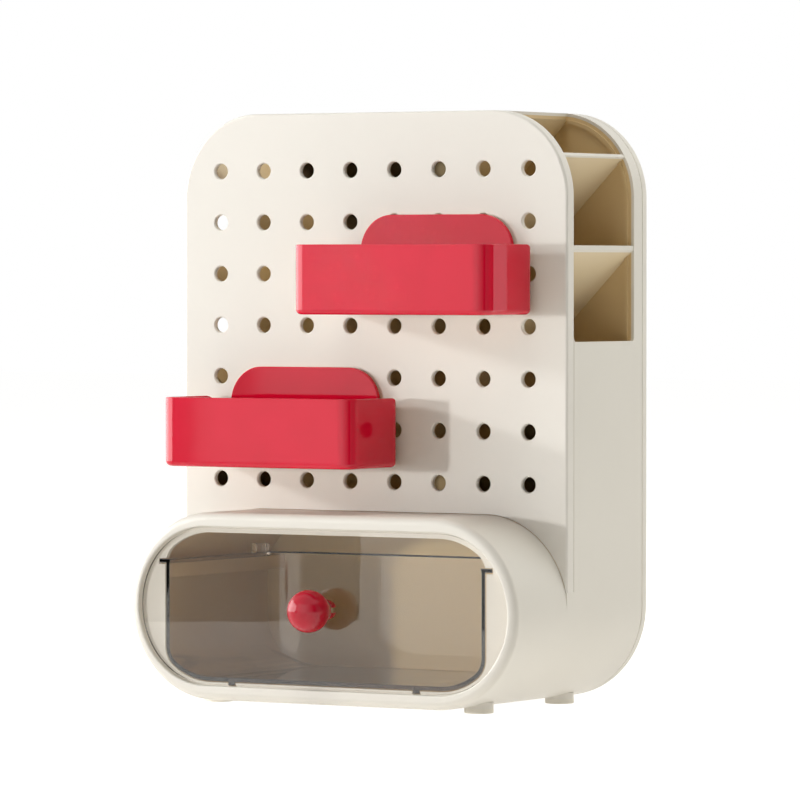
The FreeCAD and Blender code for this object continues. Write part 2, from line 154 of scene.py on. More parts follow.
class Bench:
    """One mesh object on the bench, shaped step by step. Every length is in millimetres."""

    def __init__(self, piece: Piece) -> None:
        """Takes a piece whose place is already in its mesh."""
        self.piece = piece

    # ---- starting shapes ----

    @staticmethod
    def clear() -> None:
        """Leaves edit mode and deselects everything."""
        if bpy.context.object is not None and bpy.context.object.mode != "OBJECT":
            bpy.ops.object.mode_set(mode="OBJECT")
        bpy.ops.object.select_all(action="DESELECT")

    @classmethod
    def _taken(cls, name: str) -> "Bench":
        """Names the primitive that was just added and puts its place into its mesh.

        Args:
            name: The piece's name.

        Returns:
            The bench that holds it.
        """
        bpy.ops.object.transform_apply(location=True, rotation=True, scale=True)
        piece = bpy.context.object
        piece.name = name
        piece.data.name = name
        return cls(piece)

    @classmethod
    def block(cls, name: str, low: Place, high: Place) -> "Bench":
        """A block between two corners.

        Args:
            name: The piece's name.
            low: Its lowest corner.
            high: Its highest corner.

        Returns:
            The bench that holds it.
        """
        cls.clear()
        middle = [(a + b) / 2.0 * MM for a, b in zip(low, high)]
        size = [(b - a) * MM for a, b in zip(low, high)]
        bpy.ops.mesh.primitive_cube_add(size=1.0, location=middle, scale=size)
        return cls._taken(name)

    @classmethod
    def rod(cls, name: str, radius: float, length: float, middle: Place, axis: Axis,
            sides: int = 64, turn: float = 0.0) -> "Bench":
        """A round bar.

        Args:
            name: The piece's name.
            radius: Its radius.
            length: Its length along the axis.
            middle: The middle of it.
            axis: The direction it runs in.
            sides: How many sides its circle has.
            turn: Turn about its own axis, in radians.

        Returns:
            The bench that holds it.
        """
        cls.clear()
        laid = axis.turn() @ Matrix.Rotation(turn, 4, "Z")
        bpy.ops.mesh.primitive_cylinder_add(
            vertices=sides, radius=radius * MM, depth=length * MM,
            location=[v * MM for v in middle], rotation=laid.to_euler())
        return cls._taken(name)

    @classmethod
    def ball(cls, name: str, radius: float, middle: Place, axis: Axis,
             segments: int = 96, rings: int = 64) -> "Bench":
        """A ball whose poles lie on the axis.

        Args:
            name: The piece's name.
            radius: Its radius.
            middle: Its centre.
            axis: The line its poles lie on.
            segments: Faces round the axis.
            rings: Faces from pole to pole.

        Returns:
            The bench that holds it.
        """
        cls.clear()
        bpy.ops.mesh.primitive_uv_sphere_add(
            segments=segments, ring_count=rings, radius=radius * MM,
            location=[v * MM for v in middle], rotation=axis.turn().to_euler())
        return cls._taken(name)

    # ---- picking ----

    def _edit(self) -> None:
        """Enters edit mode on this piece alone."""
        if self.piece.mode != "EDIT":
            self._object()
            bpy.ops.object.mode_set(mode="EDIT")

    def _object(self) -> None:
        """Leaves edit mode with this piece alone selected."""
        self.clear()
        bpy.context.view_layer.objects.active = self.piece
        self.piece.select_set(True)

    def pick(self, part: Part, test: Test) -> "Bench":
        """Selects the corners, edges or faces that pass a test.

        Args:
            part: What is picked.
            test: Told the middle, the corners and the normal of each, in millimetres.

        Returns:
            This bench.
        """
        self._edit()
        bpy.ops.mesh.select_mode(type=part.value)
        bpy.ops.mesh.select_all(action="DESELECT")
        mesh = bmesh.from_edit_mesh(self.piece.data)
        mesh.normal_update()
        found = 0
        rows = {Part.CORNER: mesh.verts, Part.EDGE: mesh.edges, Part.FACE: mesh.faces}[part]
        for item in rows:
            corners = [item.co / MM] if part is Part.CORNER else [v.co / MM for v in item.verts]
            middle = sum(corners, Vector()) / len(corners)
            normal = Vector() if part is Part.EDGE else item.normal
            if test(middle, corners, normal):
                item.select_set(True)
                found += 1
        mesh.select_flush_mode()
        bmesh.update_edit_mesh(self.piece.data)
        if not found:
            raise ValueError(f"{self.piece.name}: nothing was picked")
        return self

    def everything(self) -> "Bench":
        """Selects the whole mesh.

        Returns:
            This bench.
        """
        self._edit()
        bpy.ops.mesh.select_all(action="SELECT")
        return self

    # ---- shaping what is picked ----

    def bevel(self, width: float, segments: int) -> "Bench":
        """Rounds the picked edges.

        Args:
            width: Radius of the round.
            segments: Faces across it.

        Returns:
            This bench.
        """
        bpy.ops.mesh.bevel(offset_type="OFFSET", offset=width * MM, segments=segments,
                           profile=0.5, affect="EDGES", clamp_overlap=False)
        return self

    def inset(self, width: float) -> "Bench":
        """Draws the picked faces in."""
        bpy.ops.mesh.inset(thickness=width * MM, depth=0.0)
        return self

    def extrude(self, way: Place) -> "Bench":
        """Pulls the picked faces out.

        Args:
            way: How far, in millimetres.

        Returns:
            This bench.
        """
        bpy.ops.mesh.extrude_region_move(
            TRANSFORM_OT_translate={"value": [v * MM for v in way]})
        return self

    def slide(self, way: Place) -> "Bench":
        """Moves what is picked."""
        bpy.ops.transform.translate(value=[v * MM for v in way])
        return self

    def scale(self, by: Place, about: Place) -> "Bench":
        """Scales what is picked about a point."""
        bpy.ops.transform.resize(value=by, center_override=[v * MM for v in about])
        return self

    def cut_off(self, point: Place, normal: Place, fill: bool = False) -> "Bench":
        """Cuts away what lies on the normal's side of a plane.

        Args:
            point: A point on the plane.
            normal: Points to the side that goes.
            fill: True closes the cut.

        Returns:
            This bench.
        """
        self.everything()
        bpy.ops.mesh.bisect(plane_co=[v * MM for v in point], plane_no=normal,
                            clear_outer=True, use_fill=fill, threshold=0.001 * MM)
        return self

    # ---- modifiers, applied ----

    def _apply(self, kind: str, **values: object) -> "Bench":
        """Adds one modifier, sets it and applies it.

        Args:
            kind: The modifier's type.
            values: Its settings by name.

        Returns:
            This bench.
        """
        self._object()
        step = self.piece.modifiers.new(kind.lower(), kind)
        for name, value in values.items():
            setattr(step, name, value)
        bpy.ops.object.modifier_apply(modifier=step.name)
        return self

    def join(self, other: "Bench") -> "Bench":
        """Fuses another solid to this one and uses it up."""
        return self._combine(other, "UNION")

    def bore(self, other: "Bench") -> "Bench":
        """Cuts another solid out of this one and uses it up."""
        return self._combine(other, "DIFFERENCE")

    def _combine(self, other: "Bench", operation: str) -> "Bench":
        """One exact boolean with another bench's piece, which is then removed.

        Args:
            other: The bench that holds the other solid.
            operation: UNION or DIFFERENCE.

        Returns:
            This bench.
        """
        other._object()
        self._apply("BOOLEAN", object=other.piece, operation=operation, solver="EXACT")
        bpy.data.objects.remove(other.piece)
        return self

    def soften(self, width: float, segments: int = 3, angle: float = 35.0) -> "Bench":
        """Rounds every edge sharper than an angle.

        Args:
            width: Radius of the round.
            segments: Faces across it.
            angle: Least angle in degrees between the faces.

        Returns:
            This bench.
        """
        return self._apply("BEVEL", width=width * MM, segments=segments, limit_method="ANGLE",
                           angle_limit=math.radians(angle), use_clamp_overlap=False,
                           miter_outer="MITER_ARC")

    # ---- done ----

    def done(self, angle: float = 32.0) -> Piece:
        """Shades the piece smooth and takes it off the bench.

        Args:
            angle: The sharpest edge that is shaded smooth, in degrees.

        Returns:
            The finished piece.
        """
        self._object()
        bpy.ops.object.shade_smooth_by_angle(angle=math.radians(angle))
        self._apply("WEIGHTED_NORMAL", keep_sharp=True, weight=100, mode="FACE_AREA")
        self.clear()
        return self.piece

    @classmethod
    def copy_of(cls, piece: Piece, name: str, way: Place) -> Piece:
        """A copy with its own mesh, moved within that mesh.

        Args:
            piece: The finished piece.
            name: The copy's name.
            way: How far it moves.

        Returns:
            The copy.
        """
        cls.clear()
        piece.select_set(True)
        bpy.context.view_layer.objects.active = piece
        bpy.ops.object.duplicate(linked=False)
        bpy.ops.transform.translate(value=[v * MM for v in way])
        bpy.ops.object.transform_apply(location=True, rotation=False, scale=False)
        twin = bpy.context.object
        twin.name = name
        twin.data.name = name
        cls.clear()
        return twin


# ---- Finishes ----

class Wiring:
    """A tree of shader nodes, built one node at a time."""

    def __init__(self, tree: bpy.types.NodeTree) -> None:
        """Empties the tree."""
        self.tree = tree
        self.tree.nodes.clear()

    def node(self, kind: str, **values: object) -> bpy.types.Node:
        """Adds a node.

        Args:
            kind: The node's type.
            values: Attributes, or inputs when the name starts with a capital letter, an
                underscore standing for a space. A socket as a value is linked.

        Returns:
            The node.
        """
        made = self.tree.nodes.new(kind)
        for name, value in values.items():
            if name[0].isupper():
                self.set(made.inputs[name.replace("_", " ")], value)
            else:
                setattr(made, name, value)
        return made

    def set(self, socket: Socket, value: object) -> None:
        """Links a socket to another, or writes its value.

        Args:
            socket: The input.
            value: A socket or a plain value.
        """
        if isinstance(value, Socket):
            self.tree.links.new(value, socket)
        else:
            socket.default_value = value

    def math(self, operation: str, one: object, two: object = 0.0,
             clamp: bool = False) -> Socket:
        """One sum, product or other step.

        Args:
            operation: The step's name.
            one: First number or socket.
            two: Second number or socket.
            clamp: True keeps the result between 0 and 1.

        Returns:
            The result.
        """
        made = self.node("ShaderNodeMath", operation=operation, use_clamp=clamp)
        self.set(made.inputs[0], one)
        self.set(made.inputs[1], two)
        return made.outputs[0]

    def ramp(self, share: Socket, low: float, high: float) -> Socket:
        """A value that passes evenly from low to high as the share goes from 0 to 1."""
        return self.math("ADD", self.math("MULTIPLY", share, high - low), low)

    def any_ray(self, *kinds: str) -> Socket:
        """Tells rays of some kinds from all others.

        Args:
            kinds: The kinds, as the Light Path node names them.

        Returns:
            1 for a ray of any of these kinds.
        """
        path = self.node("ShaderNodeLightPath")
        share = path.outputs[kinds[0]]
        for kind in kinds[1:]:
            share = self.math("MAXIMUM", share, path.outputs[kind])
        return share

    def seen(self) -> Socket:
        """1 for a ray that shows the surroundings: straight, mirrored or shone through."""
        return self.any_ray("Is Camera Ray", "Is Glossy Ray", "Is Transmission Ray")

    def mix(self, share: Socket, one: Socket, two: Socket) -> Socket:
        """Mixes two shaders.

        Args:
            share: How much of the second.
            one: The first shader.
            two: The second shader.

        Returns:
            The mixed shader.
        """
        mixed = self.node("ShaderNodeMixShader")
        for socket, value in zip(mixed.inputs, (share, one, two)):
            self.set(socket, value)
        return mixed.outputs["Shader"]


class Recipe(Wiring):
    """A material, as the nodes that make it."""

    def __init__(self, name: str) -> None:
        """Starts a tree with its output and the place within the piece.

        Args:
            name: The material's name.
        """
        self.material = bpy.data.materials.new(name)
        self.material.use_nodes = True
        super().__init__(self.material.node_tree)
        self.output = self.node("ShaderNodeOutputMaterial")
        self.place = self.node("ShaderNodeTexCoord").outputs["Object"]

    def grain(self, size: float, detail: float) -> Socket:
        """Even noise over the piece.

        Args:
            size: Width of a grain in millimetres.
            detail: How many finer layers it has.

        Returns:
            The noise.
        """
        made = self.node("ShaderNodeTexNoise", Vector=self.place, Scale=1.0 / (size * MM),
                         Detail=detail, Roughness=0.5)
        return made.outputs["Fac"]

    def spread(self, noise: Socket, low: float, high: float) -> Socket:
        """Stretches noise over a range.

        Args:
            noise: What is stretched.
            low: Result at its low end.
            high: Result at its high end.

        Returns:
            The stretched value.
        """
        made = self.node("ShaderNodeMapRange", Value=noise, From_Min=NOISE_LOW,
                         From_Max=NOISE_HIGH, To_Min=low, To_Max=high)
        return made.outputs["Result"]

    def blend(self, share: object, one: object, two: object) -> Socket:
        """Mixes two colours.

        Args:
            share: How much of the second, a number or a socket.
            one: The first colour or socket.
            two: The second colour or socket.

        Returns:
            The mixed colour.
        """
        made = self.node("ShaderNodeMix", data_type="RGBA", Factor=share)
        self.set(made.inputs[6], one)
        self.set(made.inputs[7], two)
        return made.outputs[2]

    def across(self) -> tuple[Socket, ...]:
        """The place within the piece as its three parts."""
        parts = self.node("ShaderNodeSeparateXYZ", Vector=self.place)
        return tuple(parts.outputs[axis] for axis in "XYZ")

    def bump(self, height: Socket, depth: float) -> Socket:
        """A fine relief, its height from 0 to 1 and its depth in millimetres."""
        made = self.node("ShaderNodeBump", Height=height, Distance=depth * MM, Strength=1.0)
        return made.outputs["Normal"]

    def finish(self, shader: Socket, body: Socket | None = None) -> Material:
        """Links the shader to the output.

        Args:
            shader: The surface.
            body: What fills the piece, or None.

        Returns:
            The material.
        """
        self.set(self.output.inputs["Surface"], shader)
        if body is not None:
            self.set(self.output.inputs["Volume"], body)
        return self.material


class Finish(Protocol):
    """What a piece is made of."""

    def material(self) -> Material:
        """Makes the finish."""


@dataclass(frozen=True)
class IvoryPlastic:
    """Satin ivory plastic with a fine moulded grain and a faint unevenness of colour."""

    name: str
    colour: Colour
    # the inner colour is painted shade: darker and warmer, on the faces inside the walls
    painted_inner_shade: Colour
    roughness: float = 0.42
    grain_size: float = 0.35
    grain_depth: float = 0.0012
    cloud_size: float = 45.0
    cloud_shade: float = 0.985
    smoother: float = 0.02
    rougher: float = 0.03
    half_width: float = 87.0
    skin: float = 1.2
    shoulder_r: float = 33.0
    shoulder_z: float = 195.1
    belly_r: float = 36.2
    belly_z: float = 38.0
    panel_y: float = -4.4
    inner_front_y: float = -36.9
    inner_back_y: float = 48.4

    def _rounded(self, recipe: Recipe, across: Socket, beyond: Socket,
                 radius: float) -> Socket:
        """1 where a point lies within the outline at one end of the tower, less the skin.

        Args:
            recipe: The material that is being made.
            across: Distance from the middle plane.
            beyond: How far past the centres of the end's round corners, or 0.
            radius: Radius of those corners.

        Returns:
            1 inside and 0 in the skin and outside.
        """
        out = recipe.math("MAXIMUM", recipe.math("SUBTRACT", across,
                                                 (self.half_width - radius) * MM), 0.0)
        squared = recipe.math("ADD", recipe.math("MULTIPLY", out, out),
                              recipe.math("MULTIPLY", beyond, beyond))
        return recipe.math("LESS_THAN", squared, ((radius - self.skin) * MM) ** 2)

    def _painted_shade_mask(self, recipe: Recipe) -> Socket:
        """Finds the faces inside the walls, where shade is painted as a darker, warmer colour.

        Args:
            recipe: The material that is being made.

        Returns:
            1 inside and 0 outside.
        """
        x, y, z = recipe.across()
        across = recipe.math("ABSOLUTE", x)
        over = recipe.math("MAXIMUM", recipe.math("SUBTRACT", z, self.shoulder_z * MM), 0.0)
        front = recipe.math("LESS_THAN", y, self.panel_y * MM)
        above = recipe.math("SUBTRACT", z, self.belly_z * MM)
        under = recipe.math("MAXIMUM", recipe.math("MULTIPLY", above, -1.0),
                            recipe.math("MULTIPLY", above, front))
        rows = [self._rounded(recipe, across, over, self.shoulder_r),
                self._rounded(recipe, across, under, self.belly_r),
                recipe.math("GREATER_THAN", y, self.inner_front_y * MM),
                recipe.math("LESS_THAN", y, self.inner_back_y * MM)]
        share = rows[0]
        for row in rows[1:]:
            share = recipe.math("MULTIPLY", share, row)
        return share

    def material(self) -> Material:
        """Makes the finish.

        Returns:
            The material.
        """
        recipe = Recipe(self.name)
        clouds = recipe.grain(self.cloud_size, 3.0)
        grain = recipe.grain(self.grain_size, 2.0)
        body = recipe.blend(recipe.spread(clouds, 0.0, 1.0), self.colour,
                            shaded(self.colour, self.cloud_shade))
        # Painted shade: faces inside the walls take the darker, warmer inner colour.
        body = recipe.blend(self._painted_shade_mask(recipe), body, self.painted_inner_shade)
        shader = recipe.node(
            "ShaderNodeBsdfPrincipled", Base_Color=body,
            Roughness=recipe.spread(clouds, self.roughness - self.smoother,
                                    self.roughness + self.rougher),
            Normal=recipe.bump(grain, self.grain_depth))
        return recipe.finish(shader.outputs["BSDF"])


@dataclass(frozen=True)
class GlossPlastic:
    """Polished plastic, with the slow waves that a moulded gloss surface shows."""

    name: str
    colour: Colour
    deep: Colour
    roughness: float = 0.04
    mirror: float = 0.4
    wave_size: float = 18.0
    wave_depth: float = 0.004
    fine_size: float = 1.2
    rougher: float = 0.02
    thrown: Colour = (0.58, 0.30, 0.17, 1.0)

    def material(self) -> Material:
        """Makes the finish, which throws a softened tint on what stands by it.

        Returns:
            The material.
        """
        recipe = Recipe(self.name)
        waves = recipe.grain(self.wave_size, 1.0)
        fine = recipe.grain(self.fine_size, 2.0)
        body = recipe.blend(recipe.spread(waves, 0.0, 1.0), self.colour, self.deep)
        body = recipe.blend(recipe.any_ray("Is Diffuse Ray"), body, self.thrown)
        shader = recipe.node(
            "ShaderNodeBsdfPrincipled", Base_Color=body,
            Roughness=recipe.spread(fine, self.roughness, self.roughness + self.rougher),
            Specular_IOR_Level=self.mirror,
            Normal=recipe.bump(waves, self.wave_depth))
        return recipe.finish(shader.outputs["BSDF"])


@dataclass(frozen=True)
class ClearPlastic:
    """Clear smoky plastic. Lamps shine through it, and rays that are seen bend in it."""

    name: str
    tint: Colour
    shadow_tint: Colour
    depth_colour: Colour
    density: float
    roughness: float = 0.0
    index: float = 1.49
    mirror: float = 0.08
    flow_size: float = 22.0
    flow_depth: float = 0.01
    haze_size: float = 8.0
    rougher: float = 0.004

    def material(self) -> Material:
        """Makes the finish.

        Returns:
            The material.
        """
        recipe = Recipe(self.name)
        flow = recipe.grain(self.flow_size, 2.0)
        haze = recipe.grain(self.haze_size, 1.0)
        glass = recipe.node(
            "ShaderNodeBsdfPrincipled", Base_Color=self.tint, IOR=self.index,
            Roughness=recipe.spread(haze, self.roughness, self.roughness + self.rougher),
            Specular_IOR_Level=self.mirror, Transmission_Weight=1.0,
            Normal=recipe.bump(flow, self.flow_depth))
        through = recipe.node("ShaderNodeBsdfTransparent", Color=self.shadow_tint)
        mixed = recipe.mix(recipe.any_ray("Is Shadow Ray", "Is Diffuse Ray"),
                           glass.outputs["BSDF"], through.outputs["BSDF"])
        depth = recipe.node("ShaderNodeVolumeAbsorption", Color=self.depth_colour,
                            Density=self.density)
        return recipe.finish(mixed, depth.outputs["Volume"])


@dataclass(frozen=True)
class TurnedSteel:
    """Zinc-plated screw steel, with the rings that turning leaves."""

    name: str
    colour: Colour = linear(176, 174, 168)
    roughness: float = 0.32
    ring_size: float = 0.25
    ring_depth: float = 0.01
    patch_size: float = 2.5
    patch_shade: float = 0.8
    smoother: float = 0.06
    rougher: float = 0.12

    def material(self) -> Material:
        """Makes the finish.

        Returns:
            The material.
        """
        recipe = Recipe(self.name)
        rings = recipe.grain(self.ring_size, 3.0)
        patches = recipe.grain(self.patch_size, 2.0)
        dull = shaded(self.colour, self.patch_shade)
        shader = recipe.node(
            "ShaderNodeBsdfPrincipled", Metallic=1.0,
            Base_Color=recipe.blend(recipe.spread(patches, 0.0, 1.0), self.colour, dull),
            Roughness=recipe.spread(rings, self.roughness - self.smoother,
                                    self.roughness + self.rougher),
            Normal=recipe.bump(rings, self.ring_depth))
        return recipe.finish(shader.outputs["BSDF"])


@dataclass
class Paintbox:
    """The finishes of this organizer, each made once."""

    shell: Material
    divider: Material
    bay: Material
    panel: Material
    red: Material
    knob: Material
    clear: Material
    smoky: Material
    steel: Material
    foot: Material

    @classmethod
    def mixed(cls) -> "Paintbox":
        """Makes every finish.

        Returns:
            The paintbox.
        """
        # Painted shade: the inner colour and the bay colour are darker, warmer ivory for
        # recesses.
        ivory, painted_inner_shade, bay = linear(240, 236, 227), linear(226, 200, 152), linear(238, 217, 168)
        foot, brown = linear(243, 238, 226), (0.62, 0.48, 0.30, 1.0)
        finishes: dict[str, Finish] = {
            "shell": IvoryPlastic("ivory_moulded", ivory, painted_inner_shade),
            # The dividers' inner colour is painted shade, darker and warmer, for the pen
            # compartments.
            "divider": IvoryPlastic("ivory_divider", ivory, linear(234, 216, 180)),
            # The drawer bay is painted shade all over: a darker, warmer ivory for its recess.
            "bay": IvoryPlastic("ivory_drawer_bay", bay, bay, roughness=0.6,
                                grain_depth=0.0002),
            # The panel's rear faces inside the tower get the painted shade too.
            "panel": IvoryPlastic("ivory_panel_front", linear(242, 238, 230), painted_inner_shade,
                                  inner_front_y=-2.6),
            "red": GlossPlastic("red_gloss_plastic", linear(231, 9, 53), linear(225, 7, 48)),
            "knob": GlossPlastic("red_knob_plastic", linear(202, 8, 46), linear(194, 6, 40)),
            "clear": ClearPlastic("clear_front_plastic", (0.99, 0.985, 0.98, 1.0),
                                  (0.96, 0.955, 0.945, 1.0), brown, 25.0),
            "smoky": ClearPlastic("clear_smoky_plastic", (0.99, 0.975, 0.94, 1.0),
                                  (0.98, 0.965, 0.93, 1.0), brown, 65.0),
            "steel": TurnedSteel("screw_steel"),
            "foot": IvoryPlastic("ivory_foot", foot, foot, roughness=0.6, grain_depth=0.012),
        }
        return cls(**{name: finish.material() for name, finish in finishes.items()})


def dress(piece: Piece, material: Material) -> None:
    """Gives a piece one finish all over."""
    piece.data.materials.clear()
    piece.data.materials.append(material)


def seat(piece: Piece, body: str, slot: str, material: Material, *nodes: str) -> None:
    """Dresses a new piece, puts it on its body and lets it stand for its nodes.

    Args:
        piece: The new piece.
        body: The body it rides on.
        slot: The record's material slot; not used.
        material: Its finish.
        nodes: The CAD nodes it stands for.
    """
    dress(piece, material)
    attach(piece, body)
    if nodes:
        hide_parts(*nodes)
    log.info("%s: %d faces, rides on %s", piece.name, len(piece.data.polygons), body)


# ---- Sub-assemblies ----

@dataclass
class Tower:
    """Shell, pegboard, back cover, dividers and the drawer bay's inner parts."""

    shell_nodes: tuple[str, ...] = (
        "body_shell", "back_cover", "drawer_bezel", "drawer_rail_left", "drawer_rail_right")
    bay_nodes: tuple[str, ...] = ("drawer_bay_back",)
    divider_nodes: tuple[str, ...] = tuple(
        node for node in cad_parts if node.startswith("pen_divider"))
    panel_nodes: tuple[str, ...] = ("pegboard_panel",)

    def build(self, paints: Paintbox) -> None:
        """Dresses the frame's own shapes.

        Args:
            paints: The finishes.
        """
        for names, material in ((self.shell_nodes, paints.shell),
                                (self.bay_nodes, paints.bay),
                                (self.divider_nodes, paints.divider),
                                (self.panel_nodes, paints.panel)):
            for name in names:
                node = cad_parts[name]
                for slot in node.material_slots:
                    slot.material = material
                log.info("%s: kept from the frame, %s", name, material.name)


@dataclass
class CoverScrews:
    """Six slotted pan-head screws that hold the back cover."""

    node: str = "cover_screws"
    side_x: float = 71.0
    rows_z: tuple[float, float, float] = (202.1, 145.15, 88.2)
    head_d: float = 5.6
    head: float = 1.8
    shank_d: float = 2.9
    slot: float = 0.9
    slot_depth: float = 0.9
    tip: float = 0.6
    tip_share: float = 0.5
    head_round: float = 0.7

    def _screw(self, name: str, x: float, z: float, tip_y: float, top_y: float) -> Piece:
        """Models one screw.

        Args:
            name: The piece's name.
            x: Its axis across.
            z: Its axis up.
            tip_y: Where its shank ends.
            top_y: The top of its head.

        Returns:
            The screw.
        """
        middle = (x, top_y - self.head / 2.0, z)
        screw = Bench.rod(name, self.head_d / 2.0, self.head, middle, Axis.Y, sides=48)
        screw.pick(Part.FACE, facing(Axis.Y, -1.0))
        screw.inset((self.head_d - self.shank_d) / 2.0)
        screw.extrude((0.0, tip_y - (top_y - self.head) + self.tip, 0.0))
        screw.extrude((0.0, -self.tip, 0.0))
        screw.scale((self.tip_share, 1.0, self.tip_share), (x, tip_y, z))
        screw.pick(Part.EDGE, on_ring(Axis.Y, (x, top_y, z), self.head_d / 2.0))
        screw.bevel(self.head_round, 5)
        half = self.slot / 2.0
        screw.bore(Bench.block("slot", (x - self.head_d, top_y - self.slot_depth, z - half),
                               (x + self.head_d, top_y + 1.0, z + half)))
        return screw.done()

    def build(self, paints: Paintbox) -> None:
        """Models one screw, copies it five times and seats them.

        Args:
            paints: The finishes.
        """
        low, high = (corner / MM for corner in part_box(self.node))
        first = self._screw("cover_screw_1", -self.side_x, self.rows_z[0], low.y, high.y)
        screws = [first]
        for column, x in enumerate((-self.side_x, self.side_x)):
            for row, z in enumerate(self.rows_z):
                if column or row:
                    way = (x + self.side_x, 0.0, z - self.rows_z[0])
                    screws.append(Bench.copy_of(first, f"cover_screw_{len(screws) + 1}", way))
        for screw in screws:
            seat(screw, "organizer", "screw_steel", paints.steel, self.node)


@dataclass
class Feet:
    """Four round feet with rounded rims and a stem in the housing."""

    names: tuple[str, ...] = ("foot_front_left", "foot_front_right",
                              "foot_rear_left", "foot_rear_right")
    pad_d: float = 11.2
    stem_d: float = 5.0
    pad: float = 1.8
    rim: float = 0.45
    sole_rim: float = 1.6
    sole_depth: float = 0.3

    def _foot(self, name: str, x: float, y: float, top: float) -> Piece:
        """Models one foot.

        Args:
            name: The piece's name.
            x: Its axis across.
            y: Its axis in depth.
            top: The top of its stem.

        Returns:
            The foot.
        """
        foot = Bench.rod(name, self.pad_d / 2.0, self.pad, (x, y, self.pad / 2.0), Axis.Z)
        foot.pick(Part.FACE, facing(Axis.Z))
        foot.inset((self.pad_d - self.stem_d) / 2.0)
        foot.extrude((0.0, 0.0, top - self.pad))
        foot.pick(Part.FACE, facing(Axis.Z, -1.0))
        foot.inset(self.sole_rim)
        foot.extrude((0.0, 0.0, self.sole_depth))
        foot.pick(Part.EDGE, on_ring(Axis.Z, (x, y, 0.0), self.pad_d / 2.0))
        foot.bevel(self.rim, 4)
        return foot.done()

    def build(self, paints: Paintbox) -> None:
        """Models one foot, copies it three times and seats them.

        Args:
            paints: The finishes.
        """
        boxes = {name: [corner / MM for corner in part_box(name)] for name in self.names}
        centres = {name: (low + high) / 2.0 for name, (low, high) in boxes.items()}
        first = self.names[0]
        made = {first: self._foot("round_" + first, centres[first].x, centres[first].y,
                                  boxes[first][1].z)}
        for name in self.names[1:]:
            way = centres[name] - centres[first]
            made[name] = Bench.copy_of(made[first], "round_" + name, tuple(way))
        for name, piece in made.items():
            seat(piece, "organizer", "ivory_foot", paints.foot, name)


@dataclass
class Trays:
    """Two open trays with a rounded back tab, each on four pegs."""

    upper: str = "tray_upper"
    lower: str = "tray_lower"
    peg_reach: float = 4.6
    corner: float = 6.0
    wall: float = 1.6
    foot_round: float = 2.0
    rim_round: float = 0.4
    inner_round: float = 1.2
    back_round: float = 7.0
    tab_width: float = 68.2
    tab_rise: float = 11.5
    tab_corner: float = 14.0
    tab_thick: float = 2.0
    peg_d: float = 4.2
    peg_round: float = 0.5
    peg_drop: float = 8.2
    pitch: float = 20.0

    def _tub(self, name: str, low: Vector, high: Vector, back: float) -> Bench:
        """Models the open box of the tray, whose sides fall in a round to the back.

        Args:
            name: The piece's name.
            low: Lowest corner of the tray.
            high: Highest corner of the box, at its rim.
            back: Its back face.

        Returns:
            The bench that holds it.
        """
        tub = Bench.block(name, (low.x, low.y, low.z), (high.x, back, high.z))
        tub.pick(Part.EDGE, lambda m, c, n: close(c[0].x, c[1].x) and close(c[0].y, c[1].y))
        tub.bevel(self.corner, 12)
        tub.pick(Part.FACE, facing(Axis.Z))
        tub.inset(self.wall)
        tub.extrude((0.0, 0.0, self.wall - (high.z - low.z)))
        tub.pick(Part.EDGE, flat_at(Axis.Z, low.z))
        tub.bevel(self.foot_round, 6)
        tub.pick(Part.EDGE, flat_at(Axis.Z, low.z + self.wall))
        tub.bevel(self.inner_round, 4)
        turn_y, turn_z = back - self.back_round, high.z - self.back_round
        scoop = Bench.block("scoop", (low.x - 2.0, turn_y, turn_z),
                            (high.x + 2.0, back + 2.0, high.z + 2.0))
        scoop.bore(Bench.rod("round", self.back_round, high.x - low.x + 8.0,
                             ((low.x + high.x) / 2.0, turn_y, turn_z), Axis.X, sides=96))
        return tub.bore(scoop)

    def _tab(self, middle: float, floor: float, top: float, back: float) -> Bench:
        """Models the back tab.

        Args:
            middle: Its middle across.
            floor: Its lower end.
            top: Its top.
            back: Its back face.

        Returns:
            The bench that holds it.
        """
        half = self.tab_width / 2.0
        tab = Bench.block("tab", (middle - half, back - self.tab_thick, floor),
                          (middle + half, back, top))
        tab.pick(Part.EDGE, lambda m, c, n: all(close(v.z, top) for v in c)
                 and close(c[0].x, c[1].x))
        return tab.bevel(self.tab_corner, 20)

    def _peg(self, x: float, z: float, tip: float) -> Bench:
        """Models one peg with a rounded tip.

        Args:
            x: Its axis across.
            z: Its axis up.
            tip: Where it ends.

        Returns:
            The bench that holds it.
        """
        length = self.peg_reach + self.tab_thick / 2.0
        peg = Bench.rod("peg", self.peg_d / 2.0, length, (x, tip - length / 2.0, z), Axis.Y,
                        sides=40)
        peg.pick(Part.EDGE, flat_at(Axis.Y, tip))
        return peg.bevel(self.peg_round, 3)

    def _tray(self, name: str) -> Piece:
        """Models the upper tray with its tab and pegs.

        Args:
            name: The piece's name.

        Returns:
            The tray.
        """
        low, high = (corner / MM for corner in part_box(self.upper))
        back = high.y - self.peg_reach
        rim = high.z - self.tab_rise
        middle = (low.x + high.x) / 2.0
        tray = self._tub(name, low, Vector((high.x, back, rim)), back)
        tray.join(self._tab(middle, low.z + self.foot_round + self.wall, high.z, back))
        tray.soften(self.rim_round, 4, 50.0)
        for x in (middle - self.pitch, middle + self.pitch):
            for drop in (0.0, self.pitch):
                tray.join(self._peg(x, rim + self.peg_drop - drop, high.y))
        return tray.done()

    def build(self, paints: Paintbox) -> None:
        """Models one tray, copies it and seats both.

        Args:
            paints: The finishes.
        """
        upper = self._tray("tray_upper_red")
        way = (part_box(self.lower)[0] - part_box(self.upper)[0]) / MM
        lower = Bench.copy_of(upper, "tray_lower_red", tuple(way))
        seat(upper, "upper_tray", "red_gloss", paints.red, self.upper)
        seat(lower, "lower_tray", "red_gloss", paints.red, self.lower)


